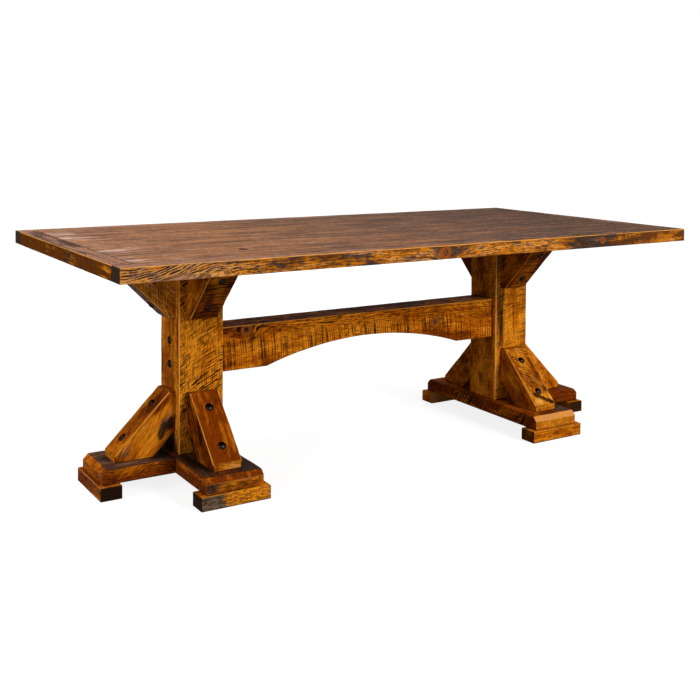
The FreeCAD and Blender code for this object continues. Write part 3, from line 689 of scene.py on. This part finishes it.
PATCHES = {
    "post_left": [
        ("c-", 0.44, -0.056, 0.26, 0.024, dict(tone=0.5)),
        # painted light: the front strip beside the arris under the upper brace is drawn lighter where the
        # brace shades it
        ("c-", 0.62, -0.058, 0.10, 0.020, dict(tone=0.8, strokes=0.4, bare_and_painted_light=0.42)),
        ("c-", 0.31, 0.045, 0.035, 0.03, dict(tone=-0.8, strokes=0.3)),
        ("c-", 0.30, -0.045, 0.04, 0.04, dict(dark=0.15, strokes=0.4)),
        ("c-", 0.13, -0.06, 0.12, 0.04, dict(strokes=0.5, tone=0.8)),
        # painted shadow: dark in the hollow between the lower end brace, the post and the foot
        ("b-", 0.10, 0, 0.06, 0.07, dict(dark=1.3))],
    "post_right": [
        ("c-", 0.43, -0.056, 0.22, 0.026, dict(grey=0.45, tone=-0.6, dark=0.75, strokes=0.5)),
        # painted light: the next two patches lighten the front beside the arris, under the top and beside
        # the lower brace, where they shade it
        ("c-", 0.66, -0.056, 0.08, 0.04, dict(grey=0.5, tone=1.6, dark=-0.3)),
        ("c-", 0.20, -0.056, 0.10, 0.03, dict(tone=1.2, grey=0.3)),
        ("b-", 0.45, -0.070, 0.30, 0.009, dict(tone=0.8, bare_and_painted_light=0.4)),
        ("b-", 0.16, 0.0, 0.04, 0.03, dict(dark=0.6))],
    "stretcher": [
        ("b-", -0.472, 0.461, 0.010, 0.010, dict(grey=0.8, dark=0.9)),
        ("b-", 0.294, 0.414, 0.010, 0.010, dict(dark=0.5)),
        ("b-", -0.447, 0.434, 0.012, 0.020, dict(dark=0.65)),
        ("b-", -0.415, 0.466, 0.030, 0.006, dict(dark=0.8)),
        ("b-", -0.348, 0.444, 0.020, 0.006, dict(dark=0.7)),
        ("b-", -0.291, 0.449, 0.018, 0.005, dict(dark=0.8)),
        ("b-", -0.225, 0.448, 0.026, 0.005, dict(dark=0.7)),
        ("b-", -0.154, 0.455, 0.030, 0.005, dict(dark=0.8)),
        ("b-", 0.0, 0.462, 2.0, 0.024, dict(strokes=-1.0, figure=0.9, tone=-0.3)),
        ("b-", 0, 0.37, FULL, 0.05, dict(tone=-0.3)),
        ("b-", -0.45, 0.340, 0.12, 0.02, dict(dark=0.3)),
        ("b-", 0.46, 0.40, 0.10, 0.035, dict(tone=0.8)),
        ("b-", 0.22, 0.458, 0.07, 0.02, dict(tone=0.7))],
    "edge_board_front": [
        ("b-", -0.92, 0.74, 0.22, 0.1, dict(figure=0.9, tone=0.9, grey=0.02)),
        ("b-", -1.03, 0.721, 0.05, 0.005, dict(figure=-1.5)),
        ("b-", -0.90, 0.723, 0.07, 0.008, dict(figure=-1.5)),
        ("b-", -0.80, 0.727, 0.02, 0.008, dict(figure=-1.5)),
        ("b-", -0.72, 0.727, 0.015, 0.008, dict(figure=-1.5)),
        ("b-", -0.021, 0.740, 0.05, 0.03, dict(grey=0.4)),
        ("b-", -0.50, 0.731, 0.05, 0.010, dict(tone=0.6, grey=-0.4)),
        ("b-", -0.33, 0.752, 0.05, 0.010, dict(grey=0.3)),
        ("b-", 0.20, 0.732, 0.10, 0.008, dict(tone=0.5, grey=-0.4)),
        ("b-", 0.83, 0.752, 0.05, 0.008, dict(tone=0.5, grey=-0.4)),
        ("c+", 0.0, -HALF_WIDTH, 0.9, 0.017, dict(grey=-1.3, tone=-0.7)),
        ("b-", 0.616, 0.738, 0.07, 0.1, dict(grey=0.9)),
        ("b-", 0.85, 0.74, 0.25, 0.1, dict(strokes=0.7, figure=-0.4, grey=-0.1, tone=-0.5)),
        ("b-", 1.03, 0.74, 0.05, 0.1, dict(grey=-0.6))],
    "end_board_right": [("c+", 0, -HALF_LENGTH, FULL, 0.012, dict(grey=-2.2, tone=-0.3))],
    "end_board_left": [
        ("b+", 0.14, 0.74, 0.03, 0.05, dict(tone=0.8)),
        ("b+", -0.08, 0.74, 0.09, 0.05, dict(grey=0.6, tone=0.8)),
        ("b+", 0.32, 0.74, 0.12, 0.1, dict(dark=0.25)),
        ("b+", -0.25, 0.74, 0.09, 0.1, dict(tone=-0.7)),
        ("b+", -0.45, 0.74, 0.07, 0.05, dict(tone=1.0)),
        ("c+", -0.36, 0, 0.16, FULL, dict(tone=0.6)),
        ("c+", 0.15, 0, 0.24, FULL, dict(tone=-0.9))],
    "lower_brace_end_left": [
        *[("b+", p, q, 0.017, 0.013, dict(dark=dark, grey=0.5)) for p, q, dark in (
            (-0.048, 0.103, 0.3), (-0.034, 0.095, 0.6), (-0.019, 0.085, 0.75), (-0.003, 0.073, 0.6),
            (-0.084, 0.108, 0.3), (-0.068, 0.091, 0.6), (-0.052, 0.074, 0.8))],
        ("b+", 0.0, 0.0536, 0.2, 0.004, dict(bare_and_painted_light=0.7)),
        ("b+", -0.095, 0.112, 0.030, 0.020, dict(tone=0.8)),
        ("b+", 0.0, 0.140, 0.14, 0.020, dict(grey=0.44, strokes=0.5)),
        ("b+", 0.100, 0.130, 0.030, 0.020, dict(grey=0.4, tone=0.4)),
        *[("c+", p, q, 0.006, 0.003, dict(dark=0.9)) for p, q in (
            (-0.086, 0.016), (-0.078, -0.018), (-0.060, 0.020), (-0.052, 0.004), (-0.048, -0.016),
            (-0.040, 0.012))]],
    "lower_brace_front_left": [
        ("b-", 0.045, 0.068, 0.05, 0.026, dict(dark=0.6)),
        ("c+", -0.09, 0.03, 0.014, 0.012, dict(dark=0.6)),
        ("b-", -0.02, 0.062, 0.06, 0.016, dict(dark=0.4))],
    "lower_brace_front_right": [
        *[("c+", p, q, 0.011, 0.011, dict(dark=0.8)) for p, q in (
            (0.080, -0.024), (0.088, -0.010), (0.096, 0.002), (0.106, 0.016), (0.114, 0.028),
            (0.12, 0.04))],
        ("c+", 0.060, 0.036, 0.022, 0.012, dict(dark=0.8)),
        ("c+", 0.10, 0.0, 0.05, 0.1, dict(tone=0.9, strokes=-0.8)),
        ("c+", 0.11, -0.02, 0.03, 0.03, dict(bare_and_painted_light=0.7)),
        ("c+", 0.10, 0.04, 0.02, 0.012, dict(bare_and_painted_light=0.7))],
    "cross_foot_right": [
        # painted highlight: the front bevel is drawn pale, a lamp reflected in the coat
        ("c+bevel", -0.323, 0, 0.1, FULL, dict(bare_and_painted_light=0.7)),
        ("c+", -0.25, -0.08, 0.2, 0.05, dict(grey=0.3))],
    "cross_foot_left": [
        ("c+", -0.25, -0.08, 0.2, 0.06, dict(grey=0.35)),
        ("c+", -0.18, 0.065, 0.14, 0.035, dict(dark=0.6, grey=0.2)),
        ("a-", 0.078, 0.062, 0.04, 0.03, dict(grey=0.8, tone=-0.6)),
        ("a-", -0.05, 0.07, 0.03, 0.012, dict(grey=0.5))],
    # painted shadow: dark in the hollow between the lower end brace, the post and this foot
    "end_foot_left": [("c+", 0.13, 0.02, 0.05, 0.06, dict(dark=1.2))],
    # the front face is drawn pale: partly unstained wood, partly painted light standing in for light bounced
    # under the foot
    "toe_block_back_right": [("b-", 0, 0.02, 1, 1, dict(bare_and_painted_light=1.2))],
    "toe_block_front_left": [
        ("b-", -0.10, 0.02, 0.07, 1, dict(grey=1.5, tone=-0.35)),
        ("b-", 0.105, 0.02, 0.012, 1, dict(grey=0.5)),
        *[("b-", p, q, 0.005, 0.003, dict(dark=0.8)) for p, q in (
            (-0.02, 0.031), (-0.005, 0.026), (0.004, 0.034), (0.016, 0.029), (0.012, 0.012),
            (0.034, 0.014), (0.046, 0.031), (0.062, 0.022), (0.076, 0.034), (0.083, 0.019))]],
}
# painted light on the long rim boards' tops: lighter at the left end and darker at the right, as the light
# falls off along the table
RIM_FADE = [("c+", -1.0, 0, 0.7, FULL, dict(tone=0.7)), ("c+", 1.0, 0, 0.9, FULL, dict(tone=-0.7))]
for rim in ("edge_board_front", "edge_board_back"):
    PATCHES[rim] = PATCHES.get(rim, []) + RIM_FADE
# painted light and sheen on every deck plank: a little greyer all over and greyer at the left end as painted
# sheen, lighter at the left and darker and less glossy at the right as the light falls off along the table
DECK_FADE = [
    ("c+", 0, 0, FULL, FULL, dict(grey=0.25)),
    ("c+", -1.0, 0, 0.7, FULL, dict(tone=0.6)),
    ("c+", 1.0, 0, 0.9, FULL, dict(tone=-0.55, grey=-0.12)),
    ("c+", 1.1, 0, 0.6, FULL, dict(sheen=-0.5)),
    ("c+", -1.0, 0, 0.3, FULL, dict(grey=0.15))]
DECK_MARKS = {
    1: [("c+", -0.99, -0.40, 0.05, 0.03, dict(grey=0.45, tone=-0.4)),
        ("c+", -0.612, -0.318, 0.013, 0.018, dict(dark=1.6, sheen=-1))],
    2: [("c+", -0.97, -0.18, 0.05, 0.04, dict(grey=0.45))],
    3: [("c+", -0.32, 0.0, 0.05, 0.02, dict(tone=-1.0))],
    4: [("c+", -0.43, 0.160, 0.14, 0.024, dict(tone=2.2, grey=-0.8)),
        ("c+", -0.34, 0.08, 0.05, 0.02, dict(tone=-1.0)),
        ("c+", -0.97, 0.23, 0.05, 0.06, dict(grey=0.4))],
    5: [("c+", -0.97, 0.34, 0.06, 0.06, dict(grey=0.4, tone=-0.2))],
}
for plank, marks in DECK_MARKS.items():
    PATCHES["deck_plank_%d" % plank] = DECK_FADE + marks


# Top

for number, (front, back) in enumerate(zip(SEAMS[:-1], SEAMS[1:])):
    timber("deck_plank_%d" % (number + 1), "deck_wood", (0 * X, X, Y, Z),
           (-HALF_DECK_LENGTH + SEAT_GAP, front + SEAT_GAP, UNDERSIDE),
           (HALF_DECK_LENGTH - SEAT_GAP, back - SEAT_GAP, TOP),
           step=0.006, ease=SEAM_TOP, ends=0.0006, across=SEAM_TOP, pith=(0.02, 0.09), worn_highlight=0.0,
           seed=10 + number)

for name, front, back, ease, seed in (
        ("front", -HALF_WIDTH, SEAMS[0] - SEAT_GAP, SEAM_AFTER, 25),
        ("back", SEAMS[-1] + SEAT_GAP, HALF_WIDTH, SEAM_BEFORE, 24)):
    timber("edge_board_" + name, "rim_wood", (0 * X, X, Y, Z), (-HALF_LENGTH, front, UNDERSIDE),
           (HALF_LENGTH, back, TOP), ease=ease, ends=0.002, pith=(0.02, 0.07), wave=0.008,
           worn_highlight=(0.4, 0.8, 0.4, 0.8), seed=seed)

for name, side in HANDS:
    # b runs along -X on these boards
    ease = SEAM_BEFORE if side < 0 else SEAM_AFTER
    span = sorted((-side * HALF_LENGTH, -side * (HALF_DECK_LENGTH + SEAT_GAP)))
    timber("end_board_" + name, "rim_wood", (0 * X, Y, -X, Z),
           (SEAMS[0] + SEAT_GAP, span[0], UNDERSIDE), (SEAMS[-1] - SEAT_GAP, span[1], TOP),
           ease=ease, ends=HARD, pith=(0.03, 0.05), worn_highlight=(0.3, 0.75, 0.3, 0.75), seed=30 + side)


# Stretcher

timber("stretcher", "stretcher_wood", (0 * X, X, Y, Z),
       (-STRETCHER_END, -HALF_STRETCHER, STRETCHER_LOW), (STRETCHER_END, HALF_STRETCHER, STRETCHER_HIGH),
       ease=ROUND, ends=HARD, shape=arch, breaks=((-ARCH_HALF, ARCH_HALF), (), ()), pith=(0.02, 0.09),
       worn_highlight=(0.3, 0.8, 0.3, 0.8), seed=40)


# Trestles

def arms(side):
    """The three ways that a trestle's feet and braces go out from its post, by name."""
    return {"front": -Y, "back": Y, "end": side * X}


def brace_place(foot, way, up):
    """Where a brace sits: the corner between post and foot or post and top, and the ways along and
    out of its slope, each the sum or difference of the arm's way and the upright over root two."""
    corner = foot + way * HALF_POST + Z * (FOOT_TOP if up > 0 else UNDERSIDE)
    return corner, (way - up * Z) / ROOT2, (way + up * Z) / ROOT2


FOOT_WEAR_AND_HIGHLIGHT = dict(pith=(0.02, 0.06), worn_highlight=0.5, worn_highlight_ends=0.62, end_dark=0.2)

for side_name, side in HANDS:
    foot = np.array([side * TRESTLE_X, 0, 0])
    base = 50 + 20 * side
    timber("post_" + side_name, "post_wood", (foot, Z, X, Y), (FOOT_TOP, -HALF_POST, -HALF_POST),
           (UNDERSIDE, HALF_POST, HALF_POST), ease=ROUND, ends=HARD, pith=(0.015, 0.02),
           worn_highlight=(1, 0.4, 0.4, 0.4), seed=base)
    timber("cross_foot_" + side_name, "foot_wood", (foot, Y, -X, Z), (-FOOT_END, -HALF_FOOT, TOE_TOP),
           (FOOT_END, HALF_FOOT, FOOT_TOP), ease=ROUND_TOP, ends=ROUND, across=ROUND_TOP,
           shape=foot_bevel, breaks=((FOOT_BEVEL - FOOT_END, FOOT_END - FOOT_BEVEL), (), ()),
           seed=base + 1, **FOOT_WEAR_AND_HIGHLIGHT)
    timber("end_foot_" + side_name, "foot_wood", (foot, side * X, side * Y, Z),
           (HALF_FOOT + SEAT_GAP, -HALF_FOOT, TOE_TOP), (FOOT_END, HALF_FOOT, FOOT_TOP),
           ease=ROUND_TOP, ends=(HARD, HARD, ROUND, ROUND), across=(HARD, HARD, HARD, ROUND),
           shape=foot_bevel, breaks=((FOOT_END - FOOT_BEVEL,), (), ()), seed=base + 2, **FOOT_WEAR_AND_HIGHLIGHT)
    for number, (arm, way) in enumerate(arms(side).items()):
        along = Y if arm == "end" else X
        out = TOE_REACH - TOE_WIDTH / 2
        timber("toe_block_%s_%s" % (arm, side_name), "toe_wood",
               (foot + way * out, along, np.cross(Z, along), Z),
               (-HALF_TOE, -TOE_WIDTH / 2, 0), (HALF_TOE, TOE_WIDTH / 2, TOE_TOP - SEAT_GAP),
               ease=BOARD_TOP, ends=BOARD, across=BOARD_TOP, pith=(0.0, 0.05), worn_highlight=0.7, worn_highlight_ends=0.6,
               seed=base + 3 + number)
        for level, up in LEVELS:
            corner, slope, normal = brace_place(foot, way, up)
            timber("%s_brace_%s_%s" % (level, arm, side_name), "brace_wood",
                   (corner, slope, np.cross(normal, slope), normal),
                   (-BRACE_HALF, -HALF_BRACE, BRACE_IN), (BRACE_HALF, HALF_BRACE, BRACE_OUT),
                   ease=ROUND_TOP, ends=HARD, across=ROUND_TOP, shape=brace_mitre,
                   breaks=((), (), (BRACE_HALF,)), pith=(0.0, 0.05), worn_highlight=(0.3, 0.8, 0.3, 0.8),
                   end_dark=0.2, seed=base + 6 + number + 3 * (up < 0))


# Bolts

def turned(name, rings, places):
    """Turned shape set at several places: a profile of (radius, height) points carried round an axis,
    with a single point at each end of the profile where the radius is nought."""
    angle = np.linspace(0, 2 * np.pi, BOLT_FACETS, endpoint=False)
    radius, height = np.array(rings[1:-1]).T
    count = len(radius)
    points, faces = [], []
    for origin, axis in places:
        side = np.cross(axis, Y if abs(axis[1]) < 0.9 else X)
        side /= np.linalg.norm(side)
        other = np.cross(axis, side)
        spin = np.cos(angle)[:, None] * side + np.sin(angle)[:, None] * other
        start = sum(len(p) for p in points)
        body = radius[:, None, None] * spin + height[:, None, None] * axis + origin
        points += [body.reshape(-1, 3), origin + np.outer([rings[0][1], rings[-1][1]], axis)]
        n = start + np.arange(count * BOLT_FACETS).reshape(count, BOLT_FACETS)
        turn = np.roll(n, -1, 1)
        quads = np.stack([n[:-1], n[1:], turn[1:], turn[:-1]], -1).reshape(-1, 4)
        crown = start + count * BOLT_FACETS
        tip = crown + 1
        faces += quads.tolist()
        faces += np.stack([np.full(BOLT_FACETS, crown), n[0], turn[0]], 1).tolist()
        faces += np.stack([np.full(BOLT_FACETS, tip), turn[-1], n[-1]], 1).tolist()
    return mesh_piece(name, np.concatenate(points), faces)


def bolt_profile():
    """Domed head from the crown down: part of a ball, a short rim, then a plain neck into the wood."""
    rise = BOLT_DOME - BOLT_RIM
    ball = (BOLT_RADIUS ** 2 + rise ** 2) / (2 * rise)
    tilt = np.linspace(0, math.asin(BOLT_RADIUS / ball), 10)[1:]
    dome = np.stack([ball * np.sin(tilt), BOLT_DOME - ball + ball * np.cos(tilt)], 1)
    dome[-1, 0] -= 0.0002
    rim = [(BOLT_RADIUS, BOLT_RIM - 0.0004), (BOLT_RADIUS, 0.0002), (BOLT_RADIUS - 0.0004, -0.0004)]
    neck = [(BOLT_NECK + 0.0005, -0.0004), (BOLT_NECK, -0.001), (BOLT_NECK, -BOLT_SUNK)]
    return [(0, BOLT_DOME)] + dome.tolist() + rim + neck + [(0, -BOLT_SUNK)]


def crown_shares(rings):
    """Nearness to the crown for each point of one turned bolt: one on the axis, nought at the rim."""
    radius, height = np.array(rings[1:-1]).T
    share = np.where(height > 0, 1 - radius / BOLT_RADIUS, 0)
    return np.concatenate([np.repeat(share, BOLT_FACETS), [1.0, 0.0]]).astype(np.float32)


bolt_black = bolt_finish()
profile = bolt_profile()
for side_name, side in HANDS:
    foot = np.array([side * TRESTLE_X, 0, 0])
    rows = {"stretcher": [(foot + side * HALF_POST * X + height * Z, side * X)
                          for height in STRETCHER_BOLTS]}
    for level, up in LEVELS:
        braces = [brace_place(foot, way, up) for way in arms(side).values()]
        rows[level + "_brace"] = [(corner + normal * BRACE_OUT + k * BRACE_BOLT * slope, normal)
                                  for corner, slope, normal in braces for k in (-1, 1)]
    for row, places in rows.items():
        heads = turned("%s_bolt_heads_%s" % (row, side_name), profile, places)
        heads.data.materials.append(bolt_black)
        crown = heads.data.attributes.new("crown", "FLOAT", "POINT")
        crown.data.foreach_set("value", np.tile(crown_shares(profile), len(places)))
        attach(heads, "root")
        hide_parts("%s_bolts_%s" % (row, side_name))

screw_steel = screw_finish()
for side_name in ("left", "right"):
    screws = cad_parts["toe_block_screws_" + side_name]
    for place in screws.material_slots:
        place.material = screw_steel


# Stage: floor, soft lights, camera

def floor_finish():
    """Pale matt floor; the camera and reflections see it lifted to white, and its shadow stays."""
    b = Bench(bpy.data.materials.new("floor_pale"))
    place = b.put("TexCoord").outputs["Object"]
    tone = b.noise(place, 3, 0.5, 2.0)
    colour = b.ramp(tone, [(0.3, srgb(136, 136, 136)), (0.7, srgb(139, 139, 139))])
    matt = b.put("BsdfDiffuse", (colour,))
    away = b.put("VectorMath", (place,), operation="LENGTH").outputs["Value"]
    share = b.maths("MULTIPLY_ADD", b.fade(away, 1.5, 5.0), 0.14, 0.85)
    lift = b.put("Emission", ((1, 1, 1, 1), b.maths("MULTIPLY", b.looked_at(), share)))
    both = b.put("AddShader", (matt.outputs[0], lift.outputs[0]))
    b.put("OutputMaterial", (both.outputs[0],))
    return b.owner


FLOOR_REACH = 60
FLOOR_LINES = 19
reach = np.linspace(-FLOOR_REACH, FLOOR_REACH, FLOOR_LINES)
floor_x, floor_y = np.meshgrid(reach, reach, indexing="ij")
floor_points = np.stack([floor_x.ravel(), floor_y.ravel(), 0 * floor_x.ravel()], 1)
n = np.arange(FLOOR_LINES ** 2).reshape(FLOOR_LINES, FLOOR_LINES)
floor_quads = np.stack([n[:-1, :-1], n[1:, :-1], n[1:, 1:], n[:-1, 1:]], -1).reshape(-1, 4)
floor = mesh_piece("floor", floor_points, floor_quads.tolist())
floor.data.materials.append(floor_finish())

# White where it is looked at, and a dim even light on the table
FILL_LIGHT = 0.15
studio = Bench(bpy.data.worlds.new("studio"))
level = studio.put("MapRange", (studio.looked_at(), 0.0, 1.0, FILL_LIGHT, 1.0)).outputs[0]
background = studio.put("Background", ((1, 1, 1, 1), level))
studio.put("OutputWorld", (background.outputs[0],))
bpy.context.scene.world = studio.owner


def set_up(name, data, place, right, up):
    """Puts a lamp or the camera at a place, its own x and y along right and up, so that it faces
    against the cross product of the two."""
    thing = bpy.data.objects.new(name, data)
    bpy.context.scene.collection.objects.link(thing)
    matrix = np.eye(4)
    matrix[:3, :3] = np.stack([right, up, np.cross(right, up)], 1)
    matrix[:3, 3] = place
    thing.matrix_world = Matrix(matrix.tolist())
    return thing


def soft_light(name, place, aim, size, power):
    """Square soft box of light at a place, turned to face a point."""
    lamp = bpy.data.lights.new(name, "AREA")
    lamp.size = size
    lamp.energy = power
    back = np.array(place, float) - np.array(aim, float)
    back /= np.linalg.norm(back)
    right = np.cross(Z, back)
    right /= np.linalg.norm(right)
    return set_up(name, lamp, place, right, np.cross(back, right))


soft_light("key_light", (1.7, -4.4, 2.5), (0, 0, 0.4), size=1.6, power=230)
soft_light("left_light", (-4.4, -1.0, 1.8), (0, 0, 0.4), size=2.0, power=72)
soft_light("top_light", (-1.8, 0.9, 3.0), (-0.6, 0, 0.7), size=1.6, power=50)
back_light = soft_light("back_light", (2.6, 4.0, 2.2), (0, 0, 0.4), size=2.0, power=70)
back_light.visible_glossy = False

# Camera where the photograph was taken from, its angles in radians
CAMERA_PLACE = (-1.9547, -3.0896, 1.1370)
YAW = -0.5542
PITCH = -0.0429
ROLL = 0.0069
camera = bpy.data.cameras.new("camera")
camera.lens = 53.164
camera.sensor_width = 36.0
camera.shift_y = -0.26
forward = np.array([math.sin(-YAW) * math.cos(PITCH), math.cos(YAW) * math.cos(PITCH), math.sin(PITCH)])
level_right = np.cross(forward, Z)
level_right /= np.linalg.norm(level_right)
level_up = np.cross(level_right, forward)
right = math.cos(ROLL) * level_right + math.sin(ROLL) * level_up
up = math.cos(ROLL) * level_up - math.sin(ROLL) * level_right
bpy.context.scene.camera = set_up("camera", camera, CAMERA_PLACE, right, up)

bpy.context.scene.view_settings.view_transform = "Standard"
